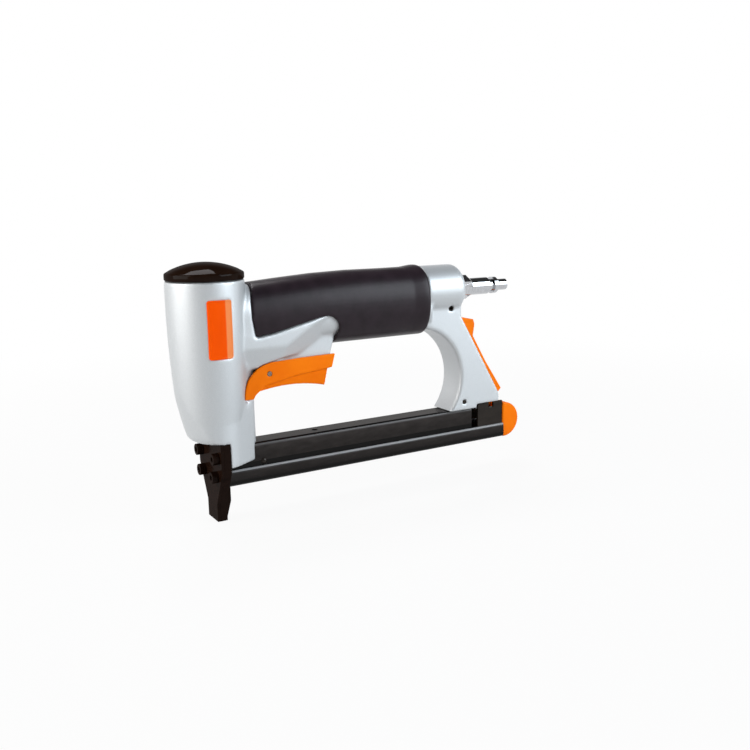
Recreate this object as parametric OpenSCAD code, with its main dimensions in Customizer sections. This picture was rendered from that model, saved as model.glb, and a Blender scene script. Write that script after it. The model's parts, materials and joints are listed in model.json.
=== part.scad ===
// Pneumatic fine wire stapler for upholstery, as an assembly of separate pieces.
// Origin: middle of the nose tip, where the staple leaves. X runs back, Z up, sizes in mm.

/* [Staple] */
// Outside width of the staple crown
crown_w = 12.8; // [10:0.1:14]
// Longest staple leg
leg_max = 16; // [13:0.5:18]
// Staple wire thickness
wire_t = 0.7; // [0.5:0.05:0.9]

/* [Nose] */
// Height of the magazine over the nose tip
nose_drop = 20.9; // [17:0.1:25]
// Width of the nose tip
tip_w = 16; // [15:0.5:19]
// Depth of the nose tip behind the blade
tip_depth = 5.6; // [4:0.1:7]
// Width of the nose plates at the top
plate_w = 38; // [36:0.5:39]
// Front plate thickness
front_t = 2; // [1.5:0.1:3]
// Driver guide thickness behind the blade
guide_t = 2.9; // [2:0.1:4]
// Nose screw thread diameter
screw_d = 4; // [3:0.5:5]

/* [Driver] */
// Driver blade thickness
blade_t = 1.1; // [0.8:0.05:1.5]
// Air gap round the cylinder sleeve
air_gap = 2.5; // [2:0.1:3]
// Cylinder sleeve wall
sleeve_t = 2.4; // [2:0.1:2.6]
// Piston height
piston_h = 12; // [11:0.5:15]
// Bumper height
bump_h = 13; // [12:0.5:15]
// Head valve lift
valve_lift = 3; // [2:0.5:4]

/* [Body] */
// Radius of the body at the cap
cap_r = 23; // [22.5:0.1:24]
// Taper of the body from the cap to the foot
taper = 3.5; // [2.5:0.1:4]
// Height of the cap dome over its rim
dome_h = 6; // [4:0.5:9]
// Height of the cap rim
rim_h = 4; // [3:0.5:6]
// Half width of the rib and trigger block
rib_w = 10; // [9:0.25:10.5]
// Half width of the rear post
post_w = 11.25; // [9.5:0.25:12]
// Wall between the trigger block and its cheeks
cheek_t = 1.75; // [1.2:0.05:2.2]

/* [Handle] */
// Half width of the grip
grip_w = 17.6; // [17:0.1:19]
// Height of the grip
grip_h = 45.4; // [44:0.2:48]
// Grip rubber thickness
rubber_t = 2.8; // [2:0.1:3.5]
// Rear end of the grip
grip_end = 147; // [140:0.5:150]
// Radius of the handle end
end_r = 16.4; // [15.5:0.1:17]
// Rear face of the handle end
tail_x = 178.9; // [176:0.1:181]

/* [Trigger] */
// Trigger pivot behind the body's edge
pivot_gap = 10.3; // [9:0.1:12]
// Trigger pin diameter
pin_d = 3; // [2.5:0.1:3.5]
// Trigger valve stem behind the pivot
stem_gap = 21.7; // [19:0.1:26]
// Valve stem diameter
stem_d = 4; // [3:0.1:4.5]
// Trigger pull in degrees
pull_deg = 6; // [4:0.5:6]

/* [Magazine] */
// Rear end of the fixed rail
rail_end = 187.5; // [186:0.5:190]
// Fixed rail sheet thickness
rail_t = 1.5; // [1:0.1:1.8]
// Slide sheet thickness
slide_t = 1.3; // [1:0.1:1.8]
// Slide wall height
slide_h = 9.9; // [8:0.1:11]
// Rear end of the slide
slide_end = 214.6; // [213:0.1:216]
// Pusher length
pusher_len = 30; // [20:1:40]
// Pusher spring outside diameter
spring_d = 6.6; // [5.6:0.1:7.4]
// End cap radius
knob_r = 12.5; // [11:0.1:13]

/* [Latch] */
// Latch pivot, along the tool
latch_x = 186; // [184:0.5:190]
// Half width of the latch lever
latch_w = 4.5; // [3.5:0.1:5.5]
// Latch press in degrees
latch_deg = 8; // [4:0.5:8]

/* [Air plug] */
// Plug tip diameter
tip_d = 7.9; // [7:0.1:8.5]
// Plug locking collar diameter
collar_d = 11.6; // [11:0.1:12.5]
// Hexagon across the flats
hex_w = 14.4; // [14:0.2:17]
// Length of the plug outside the handle
plug_len = 42; // [38:0.5:46]

/* [Fits] */
// Gap between pieces that move past each other
run_gap = 0.3; // [0.2:0.05:0.35]
// Radial gap of a pin that turns or slides
pin_gap = 0.08; // [0.05:0.01:0.1]
// Gap at each face of the driver blade
blade_gap = 0.1; // [0.05:0.05:0.2]

/* [Hidden] */
$fn = 64;
silver = [0.74, 0.76, 0.78];
black = [0.09, 0.085, 0.08];
rubber = [0.15, 0.14, 0.13];
orange = [1, 0.5, 0];
steel = [0.6, 0.61, 0.63];
chrome = [0.85, 0.86, 0.88];
big = 400;
eps = 0.01;
// Nose levels
joint_x = blade_t / 2 + blade_gap;
front_x = -joint_x - front_t;
guide_x = joint_x + guide_t;
tip_x = joint_x + tip_depth;
// Magazine levels
floor_z = nose_drop + slide_t;
leg_room = 5.3;
feed_gap = 0.3;
crown_z = floor_z + leg_room + leg_max;
rail_in_z = crown_z + feed_gap;
rail_top = rail_in_z + rail_t;
rail_in = crown_w / 2 + 0.2;
rail_out = rail_in + rail_t;
lip_z = nose_drop + slide_h;
lip_t = 1.5;
rib_top = lip_z - lip_t - run_gap;
slide_in = rail_out + 3 * run_gap;
slide_out = slide_in + slide_t;
core_w = crown_w / 2 - wire_t - 0.25;
core_t = 1.2;
core_z = crown_z - wire_t - 0.2;
mag_x = guide_x + 0.4;
rod_z = floor_z + 10.8;
rod_r = 1.5;
wire_r = 0.4;
bracket_x = rail_end + 5.4;
bracket_z = rail_top + 2;
bracket_t = 1.5;
bracket_w = rail_out + run_gap;
fold_r = 2;
slide_round = 1.8;
web_x = rail_end;
pusher_x = mag_x + 1;
push_end = pusher_x + pusher_len;
// Cylinder levels
nose_top = rail_top + 4.7;
foot_z = rail_top - 10.3;
screw_spots = [[plate_w / 2 - 5.4, nose_top - 9], [plate_w / 2 - 8.6, nose_top - 21]];
deck_t = 5;
bump_z = nose_top + deck_t;
sleeve_z = bump_z + 11;
drive_z = rail_in_z + 0.5;
stroke = drive_z - 0.3;
piston_z = bump_z + bump_h + run_gap + stroke;
piston_top = piston_z + piston_h;
sleeve_top = piston_top + 1;
head_h = 12.5;
body_top = sleeve_top + head_h + valve_lift + 4.7;
tank_z = sleeve_z + 12;
spigot_r = 0.87 * cap_r;
tank_r = 0.8 * cap_r;
sleeve_r = tank_r - air_gap;
bore_r = sleeve_r - sleeve_t;
bump_r = 0.47 * cap_r;
boss_r = 0.725 * bore_r;
foot_r = cap_r - taper;
// The body's arc, upright where its middle is, through the cap's rim and the top of the foot
body_mid_z = body_top - 15.5;
foot_top = nose_top + 12;
body_arc = (pow(body_mid_z - foot_top, 2) - pow(body_top - body_mid_z, 2)) / (2 * taper);
body_mid_r = cap_r + pow(body_top - body_mid_z, 2) / (2 * body_arc);
rib_x = cap_r + 2.3;
rib_round = 6;
saddle_r = cap_r + 5.7;
spigot_z = body_top - 14;
gasket_t = 0.5;
chamber_r = 0.752 * cap_r;
chamber_z = body_top + 1;
head_z = sleeve_top;
head_in = 0.607 * chamber_r;
blade_w = crown_w / 2 - 0.1;
// Handle levels
grip_z = body_top - 22.1;
grip_bot = grip_z - grip_h / 2;
core_side = grip_w - rubber_t;
core_high = grip_h / 2 - rubber_t;
core_drop = 2.7;
core_step = 76;
inlet_z = body_top - 15.9;
tank_axis = inlet_z - 3.6;
plug_r = 9;
plug_x = tail_x + 1.2;
thread_r = 6.4;
barrel_r = collar_d / 2 + 0.1;
// Trigger levels
pivot_x = cap_r + pivot_gap;
stem_x = pivot_x + stem_gap;
pivot_z = grip_z - 35.9;
block_z = pivot_z + 3.5;
block_end = pivot_x + 46.9;
crease_deg = 32;
crease_x = pivot_x + 16.7;
flank_w = grip_w - 0.8;
neck_w = flank_w - 0.15;
crease_z = block_z + 6.7;
lug_r = 4;
cheek_in = rib_w + 0.35;
cheek_out = cheek_in + cheek_t;
pad_top = pivot_z - 1.1;
stem_z = pad_top + run_gap;
bush_r = 6;
bush_top = block_z + 22;
seat_z = block_z + 7;
// Post and latch
post_arc_r = (grip_bot - rail_top) / 2 + 8.2;
post_arc_z = (grip_bot + rail_top) / 2 - 3.6;
latch_z = rail_top + 18.7;
lug_w = latch_w + run_gap;
tooth_z = rail_in_z + 0.2;
catch_r = 1.75;
catch_x = bracket_x + 7.1;
catch_z = tooth_z - 0.6 - catch_r;
knob_z = nose_drop + knob_r - 0.4;
end_pin_x = slide_end - 3.3;
end_pin_z = floor_z + 4;
post_pin_x = latch_x - 6.8;
tab_w = 3.2;
lean = sin(latch_deg);
post_pin_z = rail_top + 5.7;
top_pin_x = latch_x - 18;
top_pin_z = inlet_z - 12.6;
// Chin: a turned form about an axis behind the driver, with a round lower corner
chin_x = 10;
chin_r = cap_r + 10.7;
chin_z = nose_top + 65;
chin_arc = 228;
chin_round = 6;
chin_low = nose_top + chin_round - 0.4;
chin_in = chin_r - chin_arc + sqrt(pow(chin_arc - chin_round, 2) - pow(chin_z - chin_low, 2));
chin_turn = chin_z - (chin_z - chin_low) * chin_arc / (chin_arc - chin_round);
// Ends of the web that touches both the cylinder and the rib's corner
web_deg = atan2(rib_w - rib_round, rib_x - rib_round)
    + acos((foot_r - rib_round) / norm([rib_w - rib_round, rib_x - rib_round]));
function web_spot(s, k) = k == 0 ? [foot_r * cos(web_deg), s * foot_r * sin(web_deg)]
    : [rib_x - rib_round * (1 - cos(web_deg)), s * (rib_w - rib_round * (1 - sin(web_deg)))];
// Front edge of the trigger cheeks, from the tail up, d outside it
function tail(d) = [
    [pivot_x - 16.3 - d, pivot_z - 14.5 - 4 * d],
    [pivot_x - 16.1 - d, pivot_z - 10.5],
    [pivot_x - 15.3 - d, pivot_z - 6.5 + 0.3 * d],
    [pivot_x - 13.5 - d, pivot_z - 2.3 + 0.6 * d],
    [pivot_x - 11.3 - d, pivot_z + 0.4 + 0.8 * d],
    [pivot_x - 8.1 - 0.8 * d, pivot_z + 3.3 + d],
    [pivot_x - 4.3 - 0.4 * d, pivot_z + 5.4 + d],
    [pivot_x + 1, pivot_z + 6.9 + d]
];
// Edge of the grip over the trigger block, d inside it
function notch(d) = [
    [-5, 60],
    [-5, grip_z - 9.8 - d],
    [cap_r - 2.1, grip_z - 9.8 - d],
    [cap_r + 0.7, grip_z - 12.6 - d],
    [pivot_x + 1.8, grip_z - 11.1 - d],
    [pivot_x + 16.9, grip_z - 7.6 - d],
    [pivot_x + 32.7, grip_z - 3.9 - d],
    [block_end - 8.7 - d, grip_z - 3.3 - d],
    [block_end - 4.8 - d, grip_z - 4.5 - d],
    [block_end - 2 - d, grip_z - 6.9 - d],
    [block_end - 0.4 - d, grip_z - 10 - d],
    [block_end - d, grip_z - 13.5 - d],
    [block_end - 0.9 - d, grip_z - 17.5 - d],
    [block_end - 3.8 - d, grip_z - 27 - d],
    [block_end - 4.4 - d, 60]
];

module rod_x(r, x0, x1, z) {
    translate([x0, 0, z]) rotate([0, 90, 0]) cylinder(r = r, h = x1 - x0);
}

module cone_x(r0, r1, x0, x1, z) {
    translate([x0, 0, z]) rotate([0, 90, 0]) cylinder(r1 = r0, r2 = r1, h = x1 - x0);
}

module rod_y(r, x, z, y0, y1) {
    translate([x, y0, z]) rotate([-90, 0, 0]) cylinder(r = r, h = y1 - y0);
}

// Outline in X and Z, extruded across the tool
module across(y0, y1) {
    translate([0, y1, 0]) rotate([90, 0, 0]) linear_extrude(y1 - y0) children();
}

// Outline in Y and Z, extruded along the tool
module along(x0, x1) {
    translate([x0, 0, 0]) rotate([90, 0, 90]) linear_extrude(x1 - x0) children();
}

module box(x0, x1, w, z0, z1) {
    translate([x0, -w, z0]) cube([x1 - x0, 2 * w, z1 - z0]);
}

module ring_z(r, t, z) {
    translate([0, 0, z]) rotate_extrude() translate([r, 0]) circle(t, $fn = 24);
}

module disc(r, z0, z1) {
    translate([0, 0, z0]) cylinder(r = r, h = z1 - z0);
}

module stadium(w, h, z) {
    q = min(w, h);
    translate([0, z]) rotate(w > h ? 90 : 0) {
        square([2 * q, 2 * abs(h - w)], center = true);
        for (s = [-1, 1]) translate([0, s * abs(h - w)]) circle(q);
    }
}

module rounded(w, z0, z1, r, low) {
    translate([-w, z0 + low]) square([2 * w, z1 - z0 - low - r]);
    translate([r - w, z0]) square([2 * (w - r), z1 - z0]);
    for (s = [-1, 1]) {
        translate([s * (w - r), z1 - r]) circle(r);
        translate([s * (w - r), z0 + r]) if (low > 0) circle(r); else translate([-r, -r]) square(2 * r);
    }
}

// Room inside the grip, lower in front where the grip slopes down
module grip_core(x0, x1) {
    along(x0, x1) stadium(core_side, core_high - core_drop, grip_z - core_drop);
    along(core_step, x1) stadium(core_side, core_high, grip_z);
}

// Front end of the grip, wrapped round the body and closer to it at the top
module saddle(d) {
    translate([0, 0, grip_bot - 10])
        cylinder(h = body_top - grip_bot + 20, r1 = saddle_r + 1.8 + d, r2 = saddle_r - 3.9 + d);
}

// Plan of the rib behind the cylinder, with rounded corners
module rib(w) {
    translate([0, -w]) square([rib_x - rib_round, 2 * w]);
    translate([0, rib_round - w]) square([rib_x, 2 * (w - rib_round)]);
    for (s = [-1, 1]) translate([rib_x - rib_round, s * (w - rib_round)]) circle(rib_round);
}

// Flanks of the trigger block: they flare out to the grip above a crease that rises to the rear
module flanks() {
    w = flank_w;
    intersection() {
        across(-big, big) polygon(notch(0.25));
        box(5, big, big, block_z, grip_z);
        along(5, big) polygon([
            [-rib_w - 0.5, 0], [rib_w + 0.5, 0], [rib_w + 0.5, block_z - 3], [w, block_z + 13], [w, big],
            [-w, big], [-w, block_z + 13], [-rib_w - 0.5, block_z - 3]
        ]);
        translate([crease_x, 0, crease_z]) rotate([0, -crease_deg, 0]) along(-big, big) polygon([
            [-rib_w, -big], [rib_w, -big], [rib_w, -3], [w, 9], [w, big], [-w, big], [-w, 9], [-rib_w, -3]
        ]);
    }
}

// Bow under the handle: a round cut whose rims are rounded over
module post_bow() {
    r = 2.2;
    translate([latch_x - 45.6, 0, post_arc_z]) rotate([90, 0, 0]) rotate_extrude() {
        translate([0, -post_w - 1]) square([post_arc_r, 2 * post_w + 2]);
        for (s = [-1, 1]) difference() {
            translate([post_arc_r - eps, s > 0 ? post_w - r : -post_w - 1]) square([r, r + 1]);
            translate([post_arc_r + r, s * (post_w - r)]) circle(r);
        }
    }
}

// Outside of the cylinder, d outside it: straight at the foot, then one long arc up to the cap
module body_cone(d) {
    rotate_extrude() {
        translate([0, foot_z]) square([foot_r + d, foot_top - foot_z]);
        intersection() {
            translate([0, foot_top]) square([2 * cap_r, body_top - foot_top]);
            translate([body_mid_r + d - body_arc, body_mid_z]) circle(body_arc, $fn = 720);
        }
    }
}

module chin() {
    translate([chin_x, 0, 0]) rotate_extrude() {
        intersection() {
            translate([chin_r - chin_arc, chin_z]) circle(chin_arc, $fn = 256);
            translate([0, chin_turn]) square([big, chin_z - chin_turn]);
        }
        translate([chin_in, chin_low]) circle(chin_round);
        translate([0, chin_low - chin_round]) square([chin_in, chin_round + 1]);
    }
}

// One unbroken spring tube, 8 rings a curl, 6 sides
module coil(r, w, h, n) {
    count = 8 * n;
    mids = [for (i = [0:count]) [r * cos(45 * i), r * sin(45 * i), h * i / count]];
    near = min([for (i = [0:count], j = [i + 6:1:min(i + 10, count)]) norm(mids[i] - mids[j])]) - 2 * w;
    echo(str("coil gap ", near, " mm"));
    pts = [for (i = [0:count], j = [0:5])
        let (out = r + w * cos(60 * j))
        [out * cos(45 * i), out * sin(45 * i), h * i / count + w * sin(60 * j)]];
    sides = [for (i = [0:count - 1], j = [0:5], k = [0, 1]) let (a = 6 * i + j, b = 6 * i + (j + 1) % 6)
        k == 0 ? [a, b, b + 6] : [a, b + 6, a + 6]];
    polyhedron(pts, concat(sides, [[5, 4, 3, 2, 1, 0]], [[for (j = [0:5]) 6 * count + j]]));
}

// Oval skin through stations of place, middle, half width and half height
module oval_loft(rows, n) {
    m = len(rows);
    pts = [for (s = rows, k = [0:n - 1]) let (t = 360 * k / n, c = cos(t), d = sin(t))
        [s[0], s[2] * sign(c) * pow(abs(c), 0.88), s[1] + s[3] * sign(d) * pow(abs(d), 0.88)]];
    sides = [for (i = [0:m - 2], k = [0:n - 1], q = [0, 1]) let (a = n * i + k, b = n * i + (k + 1) % n)
        q == 0 ? [a, b + n, b] : [a, a + n, b + n]];
    polyhedron(pts, concat(sides, [[for (k = [0:n - 1]) k]], [[for (k = [0:n - 1]) n * m - 1 - k]]));
}

module housing() {
    color(silver) difference() {
        union() {
            body_cone(0);
            // Rib behind the cylinder, and flat webs from one to the other
            linear_extrude(block_z + 6) {
                rib(rib_w);
                polygon([for (s = [1, -1], k = [0, 1]) web_spot(s, s > 0 ? k : 1 - k)]);
            }
            grip_core(2, grip_end + 4);
            // Neck in front of the grip, level with it
            intersection() {
                along(2, 2 * saddle_r) {
                    stadium(neck_w, grip_h / 2 - 2.6, grip_z - 2.1);
                    translate([-neck_w, block_z + 12.8]) square([2 * neck_w, grip_z - block_z - 14.9]);
                }
                saddle(-0.25);
            }
            flanks();
            // Lug for the trigger pin
            rod_y(lug_r, pivot_x, pivot_z, -rib_w, rib_w);
            box(pivot_x - lug_r, pivot_x + lug_r, rib_w, pivot_z, block_z + 1);
            // Handle end with a rounded rim, and the post under it
            translate([grip_end, 0, inlet_z]) rotate([0, 90, 0]) rotate_extrude() {
                square([end_r, tail_x - grip_end - 6]);
                square([end_r - 6, tail_x - grip_end]);
                translate([end_r - 6, tail_x - grip_end - 6]) circle(6);
            }
            difference() {
                across(-post_w, post_w) polygon([
                    [grip_end + 1, inlet_z], [grip_end + 1, grip_bot + 2], [grip_end + 1, rail_top],
                    [bracket_x - 3, rail_top], [bracket_x - 3, bracket_z + 0.7],
                    [latch_x + 23.6, bracket_z + 0.7], [latch_x + 23.2, rail_top + 9.1],
                    [latch_x - 9.5, inlet_z - 18.6], [latch_x - 9.5, inlet_z]
                ]);
                post_bow();
            }
        }
        // Below the foot
        translate([0, 0, -eps]) box(-big, bracket_x - 10, big, -1, foot_z);
        // Chin, and the room for the nose plates
        difference() {
            box(-big, 0, big, nose_top - 1, nose_top + 40);
            chin();
        }
        box(-big, guide_x, big, foot_z - 1, nose_top);
        // Seats in the cylinder
        disc(spigot_r, spigot_z, body_top + 1);
        disc(tank_r, tank_z, spigot_z + eps);
        disc(sleeve_r, sleeve_z, tank_z + eps);
        disc(bump_r, bump_z, sleeve_z + eps);
        box(-joint_x - 0.5, joint_x + 0.5, blade_w + 0.6, nose_top - 1, bump_z + 1);
        disc(cap_r + 1, body_top - gasket_t, body_top + 1);
        // Air room in the handle
        rod_x(10, 0, tail_x - 26, tank_axis);
        rod_x(plug_r, tail_x - 27, tail_x + 1, inlet_z);
        // Trigger valve and pivot
        translate([stem_x, 0, 0]) disc(bush_r, block_z - 1, bush_top);
        translate([stem_x, 0, 0]) disc(bush_r - 2, bush_top - 1, tank_axis);
        rod_y(pin_d / 2, pivot_x, pivot_z, -big, big);
        // Room for the trigger cheeks over their whole pull
        difference() {
            across(-big, big) polygon(concat([[pivot_x + 26.7, pivot_z - 16.5]], tail(0.5),
                [for (x = [8, 26.7]) [pivot_x + x, pivot_z + 8.1 + x * tan(pull_deg)]]));
            box(0, big, rib_w, 0, big);
        }
        // Rail seat in the foot, rail tab seat and the latch slot in the post
        box(0, 60, rail_out + 0.1, 0, rail_top);
        box(post_pin_x - tab_w - 0.2, post_pin_x + tab_w + 0.2, 4, rail_top - 1, post_pin_z + tab_w);
        across(-lug_w, lug_w) polygon([
            [latch_x - 13.1 - 46 * lean, inlet_z - 17], [latch_x - 5 - 28 * lean, latch_z + 28],
            [latch_x - 4.8, latch_z + 20], [latch_x - 6.3, latch_z + 6], [latch_x - 6.3, latch_z - 7.2],
            [latch_x + 1, latch_z - 9], [bracket_x - 3, bracket_z],
            [bracket_x - 3, 0], [big, 0], [big, inlet_z - 17]
        ]);
        rod_y(pin_d / 2, latch_x, latch_z, -post_w + 3, big);
        rod_y(1.5, post_pin_x, post_pin_z, -big, big);
        rod_y(1.9, top_pin_x, top_pin_z, -big, big);
        // Threads of the nose screws
        for (p = screw_spots, s = [-1, 1])
            if (p[1] > foot_z)
                translate([0, s * p[0], 0]) rod_x(screw_d / 2, guide_x - 1, guide_x + 8, p[1]);
        // Badge seat
        difference() {
            box(-7.4, 7.4, big, body_top - 44.5, body_top - 10.5);
            body_cone(-0.6);
            translate([-big, 0, 0]) cube(2 * big);
        }
    }
}

module grip_sleeve() {
    // Station at x, its top and side set out from the plain grip by rise and swell
    function row(x, rise, swell) = [x, grip_z + rise / 2, grip_w + swell, (grip_h + rise) / 2];
    color(rubber) difference() {
        oval_loft([
            row(14, -4.7, -0.6), row(26, -3.7, -0.4), row(45, -2.2, -0.2), row(69, -0.6, 0),
            row(93, 0.1, 0), row(119, -0.1, 0), row(grip_end - 12, 0, 0), row(grip_end - 5, 0.9, 0.9),
            row(grip_end - 2, 1.1, 1.1), row(grip_end, 0.4, 0.5)
        ], 56);
        grip_core(0, big);
        across(-big, big) polygon(notch(0));
        saddle(0);
    }
}

module top_cap() {
    dome_r = (cap_r * cap_r + dome_h * dome_h) / (2 * dome_h);
    rim_z = body_top + rim_h;
    color(black) difference() {
        union() {
            disc(cap_r, body_top, rim_z);
            intersection() {
                translate([0, 0, rim_z + dome_h - dome_r]) sphere(dome_r);
                disc(cap_r, rim_z - eps, rim_z + dome_h + 1);
            }
            disc(spigot_r - 0.05, spigot_z, body_top + eps);
        }
        disc(chamber_r, spigot_z - 1, chamber_z);
        // Seal groove
        difference() {
            disc(cap_r, body_top - 7.3, body_top - 5);
            disc(spigot_r - 1.6, body_top - 8, body_top - 4);
        }
    }
}

module cap_gasket() {
    color(rubber) difference() {
        disc(cap_r - 0.5, body_top - gasket_t, body_top);
        disc(spigot_r, body_top - 1, body_top + 1);
    }
}

module cap_ring() {
    color(rubber) ring_z(spigot_r - 0.85, 0.75, body_top - 6.15);
}

module cylinder_sleeve() {
    color(steel) difference() {
        union() {
            disc(sleeve_r - 0.02, sleeve_z, sleeve_top);
            disc(tank_r - 0.05, sleeve_top - 4, sleeve_top);
        }
        disc(bore_r, sleeve_z - 1, sleeve_top + 1);
        // Air holes in the top flange
        for (a = [0:45:315]) rotate([0, 0, a]) translate([(sleeve_r + tank_r) / 2, 0, 0])
            disc(0.8, sleeve_z, sleeve_top + 1);
        difference() {
            disc(cap_r, sleeve_z + 4, sleeve_z + 6);
            disc(sleeve_r - 1.3, sleeve_z + 3, sleeve_z + 7);
        }
    }
}

module sleeve_ring() {
    color(rubber) ring_z(sleeve_r - 0.65, 0.6, sleeve_z + 5);
}

module bumper() {
    color(rubber) difference() {
        disc(bump_r - 0.1, bump_z, bump_z + bump_h);
        box(-joint_x - 0.5, joint_x + 0.5, blade_w + 0.6, bump_z - 1, bump_z + bump_h + 1);
    }
}

module piston() {
    color(steel) difference() {
        union() {
            disc(bore_r - pin_gap, piston_z + 4.5, piston_top);
            disc(boss_r, piston_z, piston_z + 5);
        }
        disc(0.59 * bore_r, piston_top - 2, piston_top + 1);
        box(-blade_t / 2, blade_t / 2, blade_w, piston_z - 1, piston_z + 6);
        rod_x(1.5, 0.8 - boss_r, boss_r - 0.8, piston_z + 2.6);
        // Seal groove
        difference() {
            disc(cap_r, piston_top - 4.4, piston_top - 1.8);
            disc(bore_r - 2, piston_z, piston_top + 1);
        }
    }
}

module piston_ring() {
    color(rubber) ring_z(bore_r - 1.2, 0.8, piston_top - 3.1);
}

module driver_blade() {
    color(steel) difference() {
        box(-blade_t / 2, blade_t / 2, blade_w, drive_z, piston_z + 6);
        rod_x(1.5, -5, 5, piston_z + 2.6);
    }
}

module driver_pin() {
    color(steel) rod_x(1.5, 0.8 - boss_r, boss_r - 0.8, piston_z + 2.6);
}

module head_valve() {
    color(black) difference() {
        disc(chamber_r - pin_gap, head_z, head_z + head_h);
        disc(head_in, head_z + 4, head_z + head_h + 1);
        difference() {
            disc(cap_r, head_z + 7.9, head_z + 10.1);
            disc(chamber_r - 1.7, head_z + 7, head_z + 11);
        }
    }
}

module head_ring() {
    color(rubber) ring_z(chamber_r - 0.95, 0.7, head_z + 9);
}

module head_spring() {
    z0 = head_z + 4.75;
    color(steel) translate([0, 0, z0]) coil(head_in - 1.9, 0.7, chamber_z - 0.75 - z0, 5);
}

module badge_plate() {
    color([1, 0.33, 0]) intersection() {
        difference() {
            body_cone(0.4);
            body_cone(-0.6);
        }
        translate([-7.3, -big, body_top - 44.4]) cube([14.6, big, 33.8]);
    }
}

// Shield outline of both nose plates, in Y and Z
module shield() {
    w = plate_w / 2;
    t = tip_w / 2;
    polygon([
        [-t, 0], [t, 0], [t, nose_drop - 10], [w, nose_drop + 11.5], [w, nose_top],
        [-w, nose_top], [-w, nose_drop + 11.5], [-t, nose_drop - 10]
    ]);
}

module nose_holes(r) {
    for (p = screw_spots, s = [-1, 1])
        translate([0, s * p[0], 0]) rod_x(r, -30, 30, p[1]);
}

module driver_guide() {
    color(black) difference() {
        union() {
            along(-joint_x, guide_x) shield();
            across(-tip_w / 2, tip_w / 2) polygon([
                [0, 0], [joint_x + 2.2, 0], [tip_x, 12], [tip_x, nose_drop - 0.5], [0, nose_drop - 0.5]
            ]);
        }
        // Blade channel and staple feed
        box(-joint_x - 1, joint_x, blade_w + blade_gap, -1, nose_top + 1);
        box(0, guide_x + 1, rail_in, floor_z + leg_room - 1, rail_in_z);
        nose_holes(screw_d / 2);
    }
}

module front_plate() {
    color(black) difference() {
        along(front_x, -joint_x) shield();
        nose_holes(screw_d / 2 + 0.2);
    }
}

module nose_screws() {
    color(steel) for (p = screw_spots, s = [-1, 1])
        translate([0, s * p[0], 0]) difference() {
            union() {
                rod_x(screw_d / 2, front_x - eps, guide_x + (p[1] > foot_z ? 8 : -0.1), p[1]);
                rod_x(screw_d * 0.875, front_x - screw_d, front_x, p[1]);
            }
            translate([front_x - screw_d - 1, 0, p[1]]) rotate([0, 90, 0])
                cylinder(r = screw_d * 0.43, h = 3, $fn = 6);
        }
}

module trigger() {
    x = pivot_x;
    p = pivot_z;
    pad_w = cheek_out - 1.2;
    color(orange) difference() {
        union() {
            across(-cheek_out, cheek_out) polygon(concat([
                [x - 10.8, p - 14.5], [x - 9.5, p - 12.2], [x - 7.1, p - 10.2], [x - 3.3, p - 7],
                [x + 19.7, p - 2.6], [x + 42.5, p - 0.5], [x + 44.9, p + 8.1], [x + 20.7, p + 7.7]
            ], [for (i = [7:-1:0]) tail(0)[i]]));
            // Finger pad, hollowed below, its sides drawn in towards the finger
            intersection() {
                across(-pad_w, pad_w) difference() {
                    polygon([
                        [x - 7.1, p - 10.4], [x + 36.7, p - 13.4], [x + 38.1, p - 11.2],
                        [x + 39.7, pad_top], [x - 5.8, pad_top], [x - 6.9, p - 5]
                    ]);
                    translate([x + 13.7, p - 103.5]) circle(95, $fn = 256);
                }
                along(0, big) polygon([
                    [-pad_w, p], [-pad_w, p - 3.5], [1.6 - pad_w, p - 15],
                    [pad_w - 1.6, p - 15], [pad_w, p - 3.5], [pad_w, p]
                ]);
            }
        }
        // Room for the rib and the trigger block
        difference() {
            box(-big, big, cheek_in, p - 30, p + 30);
            box(x - 7.3, x + 39.9, big, p - 30, pad_top);
        }
        rod_y(lug_r + run_gap, x, p, -cheek_in, cheek_in);
        rod_y(pin_d / 2 + pin_gap, x, p, -big, big);
    }
}

module trigger_pin() {
    color(steel) rod_y(pin_d / 2, pivot_x, pivot_z, -cheek_out, cheek_out);
}

module valve_bush() {
    color([0.75, 0.6, 0.3]) translate([stem_x, 0, 0]) difference() {
        disc(bush_r, block_z, bush_top);
        disc(stem_d / 2 + pin_gap, block_z - 1, bush_top + 1);
        disc(4.4, seat_z, bush_top + 1);
    }
}

module valve_stem() {
    color(steel) translate([stem_x, 0, 0]) {
        disc(stem_d / 2, stem_z, seat_z + 3);
        disc(3.8, seat_z, seat_z + 2.2);
        disc(1.5, seat_z + 2, bush_top - 6);
    }
}

module valve_spring() {
    z0 = seat_z + 2.65;
    color(steel) translate([stem_x, 0, z0]) coil(2.9, 0.4, bush_top - 2.45 - z0, 5);
}

module valve_cap() {
    color([0.75, 0.6, 0.3]) translate([stem_x, 0, 0]) difference() {
        disc(4.4, bush_top - 2, bush_top);
        disc(2, bush_top - 3, bush_top + 1);
    }
}

module fixed_rail() {
    color(black) difference() {
        union() {
            along(mag_x - 0.4, rail_end) rounded(rail_out, floor_z + run_gap, rail_top, fold_r, 0);
            box(mag_x - 0.4, rail_end, rail_out + 2 * run_gap, rib_top - 1.4, rib_top);
            box(post_pin_x - tab_w, post_pin_x + tab_w, 4, rail_top - 1, post_pin_z + tab_w - 0.2);
        }
        box(-1, rail_end + 1, rail_in, 0, rail_in_z);
        rod_y(1.5, post_pin_x, post_pin_z, -big, big);
        translate([68, 0, 0]) disc(2, rail_in_z - 1, rail_top + 1);
    }
}

module rail_rivets() {
    color(steel) for (s = [-1, 1])
        intersection() {
            translate([28.7, s * (rail_out - 1.4), lip_z + 2.5]) sphere(2.4);
            translate([0, s > 0 ? rail_out : -rail_out - 5, 0]) cube([50, 5, 60]);
        }
}

module post_pin() {
    color(steel) rod_y(1.5, post_pin_x, post_pin_z, -post_w, post_w);
}

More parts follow.
